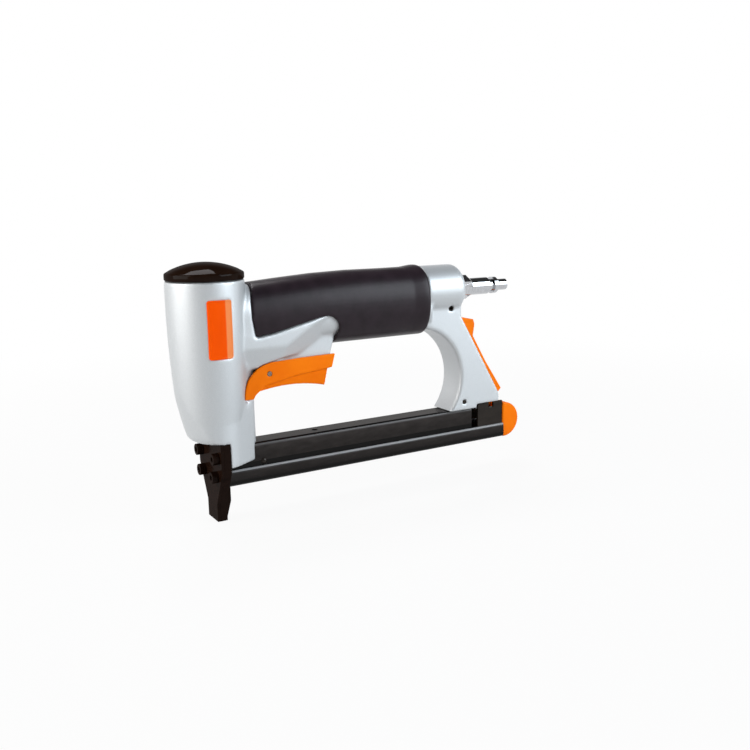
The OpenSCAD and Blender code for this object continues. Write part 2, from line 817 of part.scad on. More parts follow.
module handle_pin() {
    color(steel) difference() {
        rod_y(1.9, top_pin_x, top_pin_z, -post_w + 0.3, post_w - 0.3);
        rod_y(1.1, top_pin_x, top_pin_z, -big, big);
    }
}

module slide_channel() {
    color(black) difference() {
        along(mag_x, slide_end) rounded(slide_out, nose_drop, lip_z, slide_round, slide_round);
        box(0, big, slide_in, floor_z, lip_z - lip_t);
        box(0, big, rail_out + run_gap, floor_z, lip_z + 1);
        rod_y(1.25, end_pin_x, end_pin_z, -big, big);
    }
}

module slide_core() {
    color(steel) difference() {
        box(mag_x, web_x + 2, core_w, floor_z, core_z);
        box(mag_x + 6, web_x, core_w - core_t, floor_z - 1, core_z - core_t);
        box(mag_x + 6, web_x, 1.6, floor_z - 1, core_z + 1);
        rod_x(rod_r, mag_x + 3, big, rod_z);
    }
}

module rear_bracket() {
    color(black) difference() {
        box(bracket_x, slide_end, bracket_w, floor_z, bracket_z);
        box(0, slide_end - bracket_t, bracket_w - bracket_t, floor_z + 1.2, big);
        box(0, big, bracket_w - bracket_t, rail_top - 5, big);
        box(0, big, bracket_w - bracket_t, floor_z + 1.2, end_pin_z + 3.4);
        box(bracket_x + 9.4, bracket_x + 13.8, big, bracket_z - 3.8, big);
        rod_x(rod_r, 0, big, rod_z);
        rod_y(catch_r, catch_x, catch_z, 0.6 - bracket_w, bracket_w - 0.6);
        rod_y(1.25, end_pin_x, end_pin_z, -big, big);
    }
}

module catch_pin() {
    color(steel) rod_y(catch_r, catch_x, catch_z, 0.6 - bracket_w, bracket_w - 0.6);
}

module guide_rod() {
    color(steel) rod_x(rod_r, mag_x + 3, slide_end, rod_z);
}

module pusher() {
    eye = push_end - 8;
    color(steel) difference() {
        union() {
            box(pusher_x, push_end, rail_in - run_gap, floor_z + leg_room, rail_in_z - run_gap);
            box(eye, push_end, 1.3, rod_z, core_z + 0.4);
        }
        difference() {
            box(0, big, core_w + 0.25, 0, core_z + 0.25);
            box(eye, push_end, 1.3, rod_z, core_z + 1);
            rod_x(3.6, eye, push_end, rod_z);
        }
        rod_x(rod_r + pin_gap, 0, big, rod_z);
    }
    color(steel) difference() {
        rod_x(3.6, eye, push_end, rod_z);
        rod_x(rod_r + pin_gap, 0, big, rod_z);
    }
}

module pusher_spring() {
    x0 = push_end + 0.5;
    color(steel) translate([x0, 0, rod_z]) rotate([0, 90, 0])
        coil(spring_d / 2 - wire_r, wire_r, web_x - 0.5 - x0, 34);
}

module end_cap() {
    color(orange) difference() {
        union() {
            across(-slide_out + 0.8, slide_out - 0.8) intersection() {
                translate([slide_end + 1.4, knob_z]) circle(knob_r);
                translate([slide_end, 0]) square(100);
            }
            box(end_pin_x - 4, slide_end + 1, bracket_w - bracket_t - 0.1, floor_z + 1.2, end_pin_z + 3.2);
        }
        rod_y(1.25, end_pin_x, end_pin_z, -big, big);
    }
}

module end_pin() {
    color(steel) rod_y(1.25, end_pin_x, end_pin_z, -slide_out, slide_out);
}

module latch_lever() {
    x = latch_x;
    z = latch_z;
    color(orange) difference() {
        union() {
            across(-latch_w, latch_w) polygon([
                [x - 9.6, z + 44.2], [x - 7.4, z + 46.1], [x + 5.7, z + 43.2], [x + 6.8, z + 39.7],
                [x + 5.4, z + 31.8], [x + 7, z + 29], [x + 16.8, z + 12.2], [x + 30.8, z - 8.7],
                [x + 27.5, z - 11.6], [x + 21.5, z - 12], [x + 20.3, tooth_z], [x + 16.6, tooth_z],
                [x + 16.6, z - 13.5], [x + 10, z - 6], [x, z - 5.6], [x - 4, z - 4], [x - 5.6, z],
                [x - 4, z + 4], [x + 3, z + 10], [x + 3.5, z + 14], [x - 3.5, z + 28]
            ]);
        }
        rod_y(pin_d / 2 + pin_gap, x, z, -big, big);
        // Room for the spring beside the hub
        rod_y(6.2, x, z, 2, big);
    }
}

module latch_pin() {
    color(steel) rod_y(pin_d / 2, latch_x, latch_z, -post_w + 3, post_w);
}

module latch_spring() {
    color(steel) translate([latch_x, 4.2, latch_z]) rotate([90, 0, 0]) coil(2.6, 0.35, 1.6, 1);
}

module inlet_bush() {
    color(steel) difference() {
        union() {
            rod_x(plug_r, tail_x - 26, tail_x, inlet_z);
            rod_x(plug_r + 0.6, tail_x, plug_x, inlet_z);
        }
        rod_x(3, 0, big, inlet_z);
        rod_x(thread_r + 0.02, tail_x - 12, big, inlet_z);
    }
}

module air_plug() {
    // Stations along the plug as shares of its length
    function at(share) = plug_x + share * plug_len;
    r = tip_d / 2;
    color(chrome) difference() {
        union() {
            rod_x(thread_r, tail_x - 11, plug_x + eps, inlet_z);
            translate([plug_x, 0, inlet_z]) rotate([0, 90, 0]) intersection() {
                cylinder(r = hex_w / sqrt(3), h = at(0.19) - plug_x, $fn = 6);
                cylinder(r1 = hex_w / 2, r2 = hex_w / 2 + 10, h = 14);
            }
            cone_x(hex_w / 2, barrel_r, at(0.19) - eps, at(0.19) + 2.2, inlet_z);
            rod_x(barrel_r, at(0.19), at(0.6), inlet_z);
            cone_x(barrel_r, r + 0.4, at(0.6), at(0.6) + 1, inlet_z);
            rod_x(r + 0.4, at(0.6), at(0.71), inlet_z);
            rod_x(collar_d / 2, at(0.71), at(0.78), inlet_z);
            cone_x(collar_d / 2, r, at(0.78), at(0.78) + 0.8, inlet_z);
            rod_x(r, at(0.78), at(1), inlet_z);
        }
        rod_x(2.6, 0, big, inlet_z);
    }
}

housing();
grip_sleeve();
top_cap();
cap_gasket();
cap_ring();
cylinder_sleeve();
sleeve_ring();
bumper();
piston();
piston_ring();
driver_blade();
driver_pin();
head_valve();
head_ring();
head_spring();
badge_plate();
driver_guide();
front_plate();
nose_screws();
trigger();
trigger_pin();
valve_bush();
valve_stem();
valve_spring();
valve_cap();
fixed_rail();
rail_rivets();
post_pin();
handle_pin();
slide_channel();
slide_core();
rear_bracket();
catch_pin();
guide_rod();
pusher();
pusher_spring();
end_cap();
end_pin();
latch_lever();
latch_pin();
latch_spring();
inlet_bush();
air_plug();
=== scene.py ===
import json
import math
import bpy
import bmesh
from mathutils import Matrix, Vector


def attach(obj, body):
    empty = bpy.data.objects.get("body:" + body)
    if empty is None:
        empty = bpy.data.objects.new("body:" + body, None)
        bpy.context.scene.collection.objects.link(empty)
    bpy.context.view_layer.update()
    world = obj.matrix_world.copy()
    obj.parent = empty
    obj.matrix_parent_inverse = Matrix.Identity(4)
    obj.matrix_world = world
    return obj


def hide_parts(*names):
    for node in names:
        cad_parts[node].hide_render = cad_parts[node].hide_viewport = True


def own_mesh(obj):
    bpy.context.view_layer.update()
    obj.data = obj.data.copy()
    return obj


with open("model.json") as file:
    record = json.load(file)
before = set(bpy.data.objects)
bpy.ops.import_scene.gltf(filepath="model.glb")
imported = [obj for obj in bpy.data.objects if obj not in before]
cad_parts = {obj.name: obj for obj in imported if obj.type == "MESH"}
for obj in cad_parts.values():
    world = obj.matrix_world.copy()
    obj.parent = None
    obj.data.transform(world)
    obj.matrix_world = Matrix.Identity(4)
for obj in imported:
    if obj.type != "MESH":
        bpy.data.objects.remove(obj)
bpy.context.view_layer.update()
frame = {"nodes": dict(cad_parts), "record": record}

nodes = frame["nodes"]
bodyOf = {n: b for b, members in frame["record"]["behaviour"]["bodies"].items() for n in members}
slotOf = {s["node"]: s["material_slot"] for s in frame["record"]["subparts"]}
mm = 0.001


# small helpers for shader trees
def startMaterial(name):
    mat = bpy.data.materials.new(name)
    mat.use_nodes = True
    tree = mat.node_tree
    tree.nodes.clear()
    out = tree.nodes.new("ShaderNodeOutputMaterial")
    shader = tree.nodes.new("ShaderNodeBsdfPrincipled")
    tree.links.new(shader.outputs["BSDF"], out.inputs["Surface"])
    return mat, tree, shader


def placeCoords(tree, stretch=(1, 1, 1)):
    coords = tree.nodes.new("ShaderNodeTexCoord")
    place = tree.nodes.new("ShaderNodeMapping")
    place.inputs["Scale"].default_value = stretch
    tree.links.new(coords.outputs["Object"], place.inputs["Vector"])
    return place.outputs["Vector"]


def addNoise(tree, vector, scale, detail=4.0, rough=0.55):
    noise = tree.nodes.new("ShaderNodeTexNoise")
    noise.inputs["Scale"].default_value = scale
    noise.inputs["Detail"].default_value = detail
    noise.inputs["Roughness"].default_value = rough
    tree.links.new(vector, noise.inputs["Vector"])
    return noise.outputs["Fac"]


def addCells(tree, vector, scale):
    cells = tree.nodes.new("ShaderNodeTexVoronoi")
    cells.inputs["Scale"].default_value = scale
    tree.links.new(vector, cells.inputs["Vector"])
    return cells


def addRamp(tree, value, stops):
    ramp = tree.nodes.new("ShaderNodeValToRGB")
    band = ramp.color_ramp
    stops = list(stops)
    while len(band.elements) < len(stops):
        band.elements.new(0.5)
    for element, (place, colour) in zip(band.elements, stops):
        element.position = place
        element.color = (*colour, 1)
    tree.links.new(value, ramp.inputs["Fac"])
    return ramp.outputs["Color"]


def addSpan(tree, value, low, high):
    span = tree.nodes.new("ShaderNodeMapRange")
    span.inputs["To Min"].default_value = low
    span.inputs["To Max"].default_value = high
    tree.links.new(value, span.inputs["Value"])
    return span.outputs["Result"]


def addBump(tree, height, strength, distance):
    bump = tree.nodes.new("ShaderNodeBump")
    bump.inputs["Strength"].default_value = strength
    bump.inputs["Distance"].default_value = distance
    tree.links.new(height, bump.inputs["Height"])
    return bump.outputs["Normal"]


def addEasedSpan(tree, value, fromSpan, toSpan):
    span = tree.nodes.new("ShaderNodeMapRange")
    span.interpolation_type = "SMOOTHSTEP"
    span.inputs["From Min"].default_value, span.inputs["From Max"].default_value = fromSpan
    span.inputs["To Min"].default_value, span.inputs["To Max"].default_value = toSpan
    tree.links.new(value, span.inputs["Value"])
    return span.outputs["Result"]


def addMath(tree, kind, first, second):
    sums = tree.nodes.new("ShaderNodeMath")
    sums.operation = kind
    tree.links.new(first, sums.inputs[0])
    tree.links.new(second, sums.inputs[1])
    return sums


def addColourMix(tree, share, first, second):
    mix = tree.nodes.new("ShaderNodeMix")
    mix.data_type = "RGBA"
    factorAt, firstAt, secondAt, resultAt = 0, 6, 7, 2     # where a colour mix keeps its sockets
    mix.inputs[secondAt].default_value = (*second, 1)
    tree.links.new(share, mix.inputs[factorAt])
    tree.links.new(first, mix.inputs[firstAt])
    return mix.outputs[resultAt]


def dressShader(tree, shader, colour, rough, normal=None):
    tree.links.new(colour, shader.inputs["Base Color"])
    tree.links.new(rough, shader.inputs["Roughness"])
    if normal is not None:
        tree.links.new(normal, shader.inputs["Normal"])


# silver paint over the casting: fine flake, a little orange peel
silverPaint = {
    "dark": (0.455, 0.475, 0.49), "light": (0.555, 0.575, 0.59), "metal": 0.60, "rough": (0.44, 0.52),
    "cloud": 45, "flake": 5200, "peel": 650, "peelForce": 0.25, "peelDepth": 0.05 * mm, "coat": 0.08,
    "coatRough": 0.18,
}


def makeSilverPaint(s):
    mat, tree, shader = startMaterial("silverPaint")
    vector = placeCoords(tree)
    flake = addCells(tree, vector, s["flake"])
    colour = addRamp(tree, flake.outputs["Color"], [(0.0, s["dark"]), (1.0, s["light"])])
    rough = addSpan(tree, addNoise(tree, vector, s["cloud"]), *s["rough"])
    peel = addNoise(tree, vector, s["peel"], detail=2)
    dressShader(tree, shader, colour, rough, addBump(tree, peel, s["peelForce"], s["peelDepth"]))
    shader.inputs["Metallic"].default_value = s["metal"]
    shader.inputs["Coat Weight"].default_value = s["coat"]
    shader.inputs["Coat Roughness"].default_value = s["coatRough"]
    return mat


# rubber sleeve: brownish black with a cool cast, fine moulded grain, a broad sheen
gripRubber = {
    "dark": (0.0125, 0.0075, 0.0105), "light": (0.0210, 0.0135, 0.0180), "cloud": 110, "turns": (0.3, 0.72),
    "rough": (0.30, 0.41), "mottle": 900, "grain": 2400, "grainForce": 0.3, "grainDepth": 0.05 * mm,
    "shine": 0.18,
}


def makeGripRubber(s):
    mat, tree, shader = startMaterial("gripRubber")
    vector = placeCoords(tree)
    cloud = addNoise(tree, vector, s["cloud"], detail=5)
    colour = addRamp(tree, cloud, zip(s["turns"], (s["dark"], s["light"])))
    grain = addCells(tree, vector, s["grain"])
    rough = addSpan(tree, addNoise(tree, vector, s["mottle"], detail=3), *s["rough"])
    normal = addBump(tree, grain.outputs["Distance"], s["grainForce"], s["grainDepth"])
    dressShader(tree, shader, colour, rough, normal)
    shader.inputs["Specular IOR Level"].default_value = s["shine"]
    return mat


# glossy moulded cap with very faint swirls, its gloss held in a thin coat
capGloss = {
    "dark": (0.0070, 0.0030, 0.0016), "light": (0.0135, 0.0062, 0.0036), "cloud": 160, "turns": (0.25, 0.8),
    "rough": (0.3, 0.4), "mottle": 420, "coat": 0.09, "coatRough": 0.05,
}


def makeCapGloss(s):
    mat, tree, shader = startMaterial("capGloss")
    vector = placeCoords(tree)
    cloud = addNoise(tree, vector, s["cloud"], detail=3)
    colour = addRamp(tree, cloud, zip(s["turns"], (s["dark"], s["light"])))
    rough = addSpan(tree, addNoise(tree, vector, s["mottle"], detail=5), *s["rough"])
    dressShader(tree, shader, colour, rough)
    shader.inputs["Specular IOR Level"].default_value = 0.0
    shader.inputs["Coat Weight"].default_value = s["coat"]
    shader.inputs["Coat Roughness"].default_value = s["coatRough"]
    return mat


# orange mouldings: satin, slight flow clouding; black seals are made alike
orangePlastic = {
    "dark": (0.93, 0.170, 0.001), "light": (1.0, 0.215, 0.002), "rough": (0.30, 0.42), "grain": 1500,
    "grainDepth": 0.03 * mm, "shine": 0.07,
}
sealRubber = {
    "dark": (0.012, 0.012, 0.012), "light": (0.024, 0.023, 0.022), "rough": (0.45, 0.6), "grain": 2000,
    "grainDepth": 0.03 * mm, "shine": 0.25,
}
# badge film: satin orange with a painted highlight, a paler strip along its rear edge
badgeFilm = {
    "dark": (0.95, 0.083, 0.001), "light": (1.0, 0.100, 0.001), "highlightOrange": (0.95, 0.27, 0.085),
    "highlightSpan": (2.7 * mm, 3.7 * mm), "rough": (0.26, 0.34), "grain": 2600, "grainDepth": 0.01 * mm,
    "shine": 0.04,
}
satin = {"cloud": 60, "turns": (0.3, 0.7), "mottle": 500, "grainForce": 0.25}     # shared by all three


def makeSatin(name, s, g):
    mat, tree, shader = startMaterial(name)
    vector = placeCoords(tree)
    cloud = addNoise(tree, vector, g["cloud"], detail=4)
    colour = addRamp(tree, cloud, zip(g["turns"], (s["dark"], s["light"])))
    # painted highlight: paler orange towards the badge's rear edge
    if "highlightSpan" in s:
        split = tree.nodes.new("ShaderNodeSeparateXYZ")
        tree.links.new(vector, split.inputs[0])
        edge = addEasedSpan(tree, split.outputs["X"], s["highlightSpan"], (0, 1))
        colour = addColourMix(tree, edge, colour, s["highlightOrange"])
    rough = addSpan(tree, addNoise(tree, vector, g["mottle"], detail=3), *s["rough"])
    grain = addNoise(tree, vector, s["grain"], detail=2)
    dressShader(tree, shader, colour, rough, addBump(tree, grain, g["grainForce"], s["grainDepth"]))
    shader.inputs["Specular IOR Level"].default_value = s["shine"]
    return mat


# black finish on nose and magazine: semi-gloss with a brown cast
# painted light bands: height in mm, tone of the black there (painted shade below 1, painted highlight above
# 1), and share of a painted grey highlight there along folds and lips
blackFinishes = {
    "blackSteel": {
        "dark": (0.0120, 0.0085, 0.0065), "light": (0.0230, 0.0170, 0.0130), "coat": 0.36, "coatRough": 0.16,
        "paintedLightBands": [(0, 1.0, 0.0), (100, 1.0, 0.0)],
    },
    "railBlack": {
        "dark": (0.0125, 0.0098, 0.0088), "light": (0.0245, 0.0200, 0.0185), "coat": 0.28, "coatRough": 0.16,
        # painted shade and reflection by the slide's lip, lighter towards the top, painted highlight lines on
        # the fold, a painted dark reflection line at its top
        "paintedLightBands": [
            (30.4, 0.04, 0.0), (33.6, 0.08, 0.0), (34.2, 0.9, 0.0), (39.0, 1.1, 0.0), (42.8, 1.5, 0.01),
            (43.9, 2.0, 0.16), (44.5, 1.0, 0.14), (44.8, 0.05, 0.0), (45.2, 0.1, 0.0), (45.3, 1.0, 0.0),
        ],
    },
    "slideBlack": {
        "dark": (0.0090, 0.0072, 0.0066), "light": (0.0175, 0.0142, 0.0132), "coat": 0.28, "coatRough": 0.14,
        # painted highlight along the bottom fold with painted shade above it, lighter towards the top, a
        # painted grey highlight along the top lip
        "paintedLightBands": [
            (20.9, 0.6, 0.0), (21.3, 1.0, 0.08), (21.8, 1.0, 0.06), (22.3, 0.05, 0.0), (23.4, 0.08, 0.0),
            (25.0, 0.9, 0.0), (28.6, 1.6, 0.0), (29.6, 2.0, 0.06), (30.1, 2.0, 0.85), (30.6, 2.0, 0.75),
            (30.8, 1.0, 0.1),
        ],
    },
    "noseBlack": {
        "dark": (0.0075, 0.0033, 0.0020), "light": (0.0135, 0.0062, 0.0040), "coat": 0.08, "coatRough": 0.18,
        "paintedLightBands": [(0, 1.0, 0.0), (100, 1.0, 0.0)],
    },
}
blackGrain = {
    "stretch": (0.35, 1, 1), "streak": 260, "turns": (0.3, 0.75), "rough": (0.30, 0.42), "mottle": 700,
    # the last colour is the grey of the painted highlights along folds and lips
    "grain": 1900, "force": 0.2, "depth": 0.03 * mm, "highlightGrey": (0.40, 0.40, 0.41),
}


def makeBlackFinish(name, s, g):
    mat, tree, shader = startMaterial(name)
    vector = placeCoords(tree, g["stretch"])
    streak = addNoise(tree, vector, g["streak"], detail=5)
    tone = addRamp(tree, streak, zip(g["turns"], (s["dark"], s["light"])))
    low, high = s["paintedLightBands"][0][0], s["paintedLightBands"][-1][0]
    split = tree.nodes.new("ShaderNodeSeparateXYZ")
    tree.links.new(placeCoords(tree), split.inputs[0])
    height = tree.nodes.new("ShaderNodeMapRange")
    height.inputs["From Min"].default_value = low * mm
    height.inputs["From Max"].default_value = high * mm
    tree.links.new(split.outputs["Z"], height.inputs["Value"])
    # the tone by height paints shade and highlight onto the rail and the slide
    places = [(z - low) / (high - low) for z, k, r in s["paintedLightBands"]]
    most = max(k for z, k, r in s["paintedLightBands"])     # a ramp holds up to 1, so tones are scaled down and up again
    tones = [(k / most,) * 3 for z, k, r in s["paintedLightBands"]]
    shaded = tree.nodes.new("ShaderNodeVectorMath")
    shaded.operation = "MULTIPLY"
    tree.links.new(tone, shaded.inputs[0])
    tree.links.new(addRamp(tree, height.outputs["Result"], zip(places, tones)), shaded.inputs[1])
    full = tree.nodes.new("ShaderNodeVectorMath")
    full.operation = "SCALE"
    full.inputs["Scale"].default_value = most
    tree.links.new(shaded.outputs[0], full.inputs[0])
    # grey mixed in by height: painted highlights along the rail's fold and the slide's lips
    highlightShares = [(r, r, r) for z, k, r in s["paintedLightBands"]]
    highlightShare = addRamp(tree, height.outputs["Result"], zip(places, highlightShares))
    colour = addColourMix(tree, highlightShare, full.outputs[0], g["highlightGrey"])
    rough = addSpan(tree, addNoise(tree, vector, g["mottle"], detail=4), *g["rough"])
    grain = addNoise(tree, vector, g["grain"], detail=2)
    dressShader(tree, shader, colour, rough, addBump(tree, grain, g["force"], g["depth"]))
    shader.inputs["Specular IOR Level"].default_value = 0.0
    shader.inputs["Coat Weight"].default_value = s["coat"]
    shader.inputs["Coat Roughness"].default_value = s["coatRough"]
    return mat


# bare metals: turned or drawn, grain along one direction
bareMetals = {
    "plainSteel": {"dark": (0.33, 0.335, 0.35), "light": (0.50, 0.505, 0.52), "rough": (0.24, 0.38),
                   "stretch": (0.2, 1, 1)},
    "pinEnds": {"dark": (0.13, 0.10, 0.085), "light": (0.24, 0.19, 0.16), "rough": (0.34, 0.50),
                "stretch": (1, 0.2, 1)},
    "turnedAlloy": {"dark": (0.52, 0.53, 0.55), "light": (0.68, 0.69, 0.71), "rough": (0.26, 0.40),
                    "stretch": (1, 1, 0.2)},
    "chromePlate": {"dark": (0.43, 0.44, 0.46), "light": (0.58, 0.59, 0.61), "rough": (0.05, 0.11),
                    "stretch": (1, 0.3, 0.3)},
    "turnedBrass": {"dark": (0.48, 0.33, 0.10), "light": (0.62, 0.44, 0.16), "rough": (0.22, 0.35),
                    "stretch": (1, 1, 0.2)},
}
metalGrain = {"grain": 1600, "turns": (0.25, 0.75), "mottle": 350}


def makeBareMetal(name, s, g):
    mat, tree, shader = startMaterial(name)
    vector = placeCoords(tree, s["stretch"])
    grain = addNoise(tree, vector, g["grain"], detail=4)
    colour = addRamp(tree, grain, zip(g["turns"], (s["dark"], s["light"])))
    rough = addSpan(tree, addNoise(tree, vector, g["mottle"], detail=3), *s["rough"])
    dressShader(tree, shader, colour, rough)
    shader.inputs["Metallic"].default_value = 1.0
    return mat


# finishes by the record's material slot, and a few by a name of their own
blacks = {name: makeBlackFinish(name, s, blackGrain) for name, s in blackFinishes.items()}
metals = {name: makeBareMetal(name, s, metalGrain) for name, s in bareMetals.items()}
finish = {
    "silver_paint": makeSilverPaint(silverPaint),
    "grip_rubber": makeGripRubber(gripRubber),
    "black_gloss": makeCapGloss(capGloss),
    "orange_plastic": makeSatin("orangePlastic", orangePlastic, satin),
    "badge_orange": makeSatin("badgeFilm", badgeFilm, satin),
    "seal_rubber": makeSatin("sealRubber", sealRubber, satin),
    "black_steel": blacks["blackSteel"], "railBlack": blacks["railBlack"],
    "slideBlack": blacks["slideBlack"], "noseBlack": blacks["noseBlack"],
    "steel": metals["plainSteel"], "pinEnds": metals["pinEnds"], "alloy": metals["turnedAlloy"],
    "plated": metals["chromePlate"], "bronze": metals["turnedBrass"],
}
print("finishes made:", len(finish))


def setFinish(obj, slotName):
    obj.data.materials.clear()
    obj.data.materials.append(finish[slotName])


ownFinish = {     # pieces whose finish is a variant of their slot's
    "front_plate": "noseBlack", "driver_guide": "noseBlack", "nose_screws": "noseBlack",
    "fixed_rail": "railBlack", "slide_channel": "slideBlack", "trigger_pin": "pinEnds",
}


def addPiece(obj, node):
    setFinish(obj, ownFinish.get(node, slotOf[node]))
    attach(obj, bodyOf[node])
    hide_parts(node)


def smoothFaces(mesh):
    mesh.polygons.foreach_set("use_smooth", [True] * len(mesh.polygons))


def addObject(name, data):
    obj = bpy.data.objects.new(name, data)
    bpy.context.scene.collection.objects.link(obj)
    return obj


weld = {"near": 0.002 * mm, "flat": math.radians(0.6)}


def weldedCopy(node, name, joinFlats=False):
    mesh = nodes[node].data.copy()
    work = bmesh.new()
    work.from_mesh(mesh)
    bmesh.ops.remove_doubles(work, verts=work.verts, dist=weld["near"])
    if joinFlats:
        bmesh.ops.dissolve_limit(work, angle_limit=weld["flat"], verts=work.verts, edges=work.edges)
    work.to_mesh(mesh)
    work.free()
    return addObject(name, mesh)


def bakeModifiers(obj):
    graph = bpy.context.evaluated_depsgraph_get()
    graph.update()
    baked = bpy.data.meshes.new_from_object(obj.evaluated_get(graph))
    obj.modifiers.clear()
    old = obj.data
    obj.data = baked
    bpy.data.meshes.remove(old)


# round the trigger, in mm: spans of x, of distance from the middle plane and of z. The casting keeps clear of
# the trigger over its swing, and two small ledges beside its front edge run out into the faces next to them.
triggerRoom = {
    "x": (13.5, 44.0), "out": (7.5, 14.0), "z": (68.0, 100.0), "gap": 0.3,
    "pivot": (33.3, 0, 87.5), "axis": (0, -1, 0), "angles": (0, 2, 4, 6),
}
triggerLedges = [
    {"x": (13.5, 25.0), "out": (8.6, 15.0), "z": (83.0, 96.0), "passes": 40, "weight": 0.5},
    {"x": (13.5, 25.0), "out": (8.6, 13.0), "z": (63.0, 74.0), "passes": 40, "weight": 0.5},
]

# cast and moulded pieces: the solid's own shape with its edges and corners softened
softForms = {
    "housing": {"name": "castBody", "voxel": 0.65, "passes": 14, "weight": 0.5},
    "grip_sleeve": {"name": "gripSleeve", "voxel": 0.55, "passes": 12, "weight": 0.5},
    "trigger": {"name": "fingerTrigger", "voxel": 0.4, "passes": 10, "weight": 0.5},
    "latch_lever": {"name": "latchLever", "voxel": 0.4, "passes": 9, "weight": 0.5},
    "end_cap": {"name": "endCap", "voxel": 0.4, "passes": 16, "weight": 0.5},
}


def insideSpans(point, s):
    spans = ((point.x, s["x"]), (abs(point.y), s["out"]), (point.z, s["z"]))
    return all(low * mm < value < high * mm for value, (low, high) in spans)


def meltLedge(obj, s):
    work = bmesh.new()
    work.from_mesh(obj.data)
    chosen = [v for v in work.verts if insideSpans(v.co, s)]
    for turn in range(s["passes"]):
        bmesh.ops.smooth_vert(work, verts=chosen, factor=s["weight"],
                              use_axis_x=True, use_axis_y=True, use_axis_z=True)
    work.to_mesh(obj.data)
    work.free()


def clearRoom(obj, node, mover, s):
    pivot = Matrix.Translation(Vector(s["pivot"]) * mm)
    axis, gap = Vector(s["axis"]), s["gap"] * mm
    turns = [Matrix.Rotation(math.radians(-a), 4, axis) for a in s["angles"]]
    backs = [pivot @ turn @ pivot.inverted() for turn in turns]     # the casting's points turn, not the mover
    moved = 0
    for v in obj.data.vertices:
        if insideSpans(v.co, s):
            tries = [nodes[mover].closest_point_on_mesh(back @ v.co, distance=gap)[0] for back in backs]
            near, normal = nodes[node].closest_point_on_mesh(v.co)[1:3]
            if any(tries) and (v.co - near).dot(normal) > 0:
                v.co = near
                moved += 1
    print(obj.name, "cleared of", mover, "at", moved, "points")


def softenForm(node, s):
    obj = weldedCopy(node, s["name"])
    grid = obj.modifiers.new("grid", "REMESH")
    grid.mode = "VOXEL"
    grid.voxel_size = s["voxel"] * mm
    grid.use_smooth_shade = True
    ease = obj.modifiers.new("ease", "SMOOTH")
    ease.factor = s["weight"]
    ease.iterations = s["passes"]
    bakeModifiers(obj)
    smoothFaces(obj.data)
    if node == "housing":
        for ledge in triggerLedges:
            meltLedge(obj, ledge)
        clearRoom(obj, node, "trigger", triggerRoom)
    addPiece(obj, node)
    print(s["name"], len(obj.data.polygons), "faces")


for node, s in softForms.items():
    softenForm(node, s)

# machined and folded pieces keep the solid and get a fine broken edge, its width in mm
edgeBreaks = {
    "front_plate": 0.35, "driver_guide": 0.35, "fixed_rail": 0.45, "slide_channel": 0.45,
    "rear_bracket": 0.35, "nose_screws": 0.25, "air_plug": 0.25, "inlet_bush": 0.3, "trigger_pin": 0.2,
    "post_pin": 0.2, "end_pin": 0.2, "rail_rivets": 0.25, "pusher": 0.12, "slide_core": 0.2,
    "catch_pin": 0.2, "guide_rod": 0.2, "latch_pin": 0.2, "handle_pin": 0.2,
}
edgeStyle = {"segments": 3, "leastAngle": math.radians(28), "flatPull": 100}


def breakEdges(node, width, s):
    obj = weldedCopy(node, node + "Shaped", True)
    edge = obj.modifiers.new("edge", "BEVEL")
    edge.width = width * mm
    edge.segments = s["segments"]
    edge.limit_method = "ANGLE"
    edge.angle_limit = s["leastAngle"]
    edge.use_clamp_overlap = True
    edge.miter_outer = "MITER_ARC"
    bakeModifiers(obj)
    smoothFaces(obj.data)
    level = obj.modifiers.new("level", "WEIGHTED_NORMAL")
    level.keep_sharp = True
    level.weight = s["flatPull"]
    addPiece(obj, node)


for node, width in edgeBreaks.items():
    breakEdges(node, width, edgeStyle)
print("edges broken on", len(edgeBreaks), "pieces")


def addMesh(name, points, faces):
    mesh = bpy.data.meshes.new(name)
    mesh.from_pydata([Vector(p) * mm for p in points], [], faces)
    mesh.validate()
    work = bmesh.new()
    work.from_mesh(mesh)
    bmesh.ops.recalc_face_normals(work, faces=work.faces)
    work.to_mesh(mesh)
    work.free()
    smoothFaces(mesh)
    return addObject(name, mesh)


# domed cap: turned outline of radius and height, rim rounded over into the dome
topCap = {
    "radius": 23.0, "low": 145.5, "rim": 4.0, "dome": 6.0, "round": 1.6, "foot": 0.7, "spigot": 19.95,
    "spigotLow": 131.5, "hollow": 17.3, "hollowTop": 146.5, "eye": 0.05, "sides": 128, "domeSteps": 14,
    "footTurns": (25, 50, 75, 90), "rimTurns": (0, 15, 30, 45, 58), "rimDrop": 0.55, "rimRise": 0.8,
    "domeShare": 0.97,
}


def makeTopCap(s):
    r, z0, z1 = s["radius"], s["low"], s["low"] + s["rim"]
    foot, turned, eye = s["foot"], s["round"], s["eye"]
    ball = (r * r + s["dome"] ** 2) / (2 * s["dome"])
    outline = [(eye, s["hollowTop"]), (s["hollow"], s["hollowTop"]), (s["hollow"], s["spigotLow"]),
               (s["spigot"], s["spigotLow"]), (s["spigot"], z0), (r - foot, z0)]
    for a in (math.radians(q) for q in s["footTurns"]):
        outline.append((r - foot + foot * math.sin(a), z0 + foot * (1 - math.cos(a))))
    for a in (math.radians(q) for q in s["rimTurns"]):
        rise = turned * math.sin(a) * s["rimRise"]
        outline.append((r - turned * (1 - math.cos(a)), z1 - turned * s["rimDrop"] + rise))
    slope = math.asin((r - turned) / ball)      # where the dome starts to turn down into the rim
    for k in range(1, s["domeSteps"] + 1):
        a = slope * (1 - k / s["domeSteps"]) * s["domeShare"]
        outline.append((max(ball * math.sin(a), eye), z1 + s["dome"] - ball * (1 - math.cos(a))))
    n, m = s["sides"], len(outline)
    angles = [2 * math.pi * i / n for i in range(n)]
    points, faces = [], []
    for q, z in outline:
        points += [(q * math.cos(a), q * math.sin(a), z) for a in angles]
    for k in range(m):
        for i in range(n):
            j, up = (i + 1) % n, (k + 1) % m
            faces.append((k * n + i, k * n + j, up * n + j, up * n + i))
    addPiece(addMesh("topCap", points, faces), "top_cap")


makeTopCap(topCap)

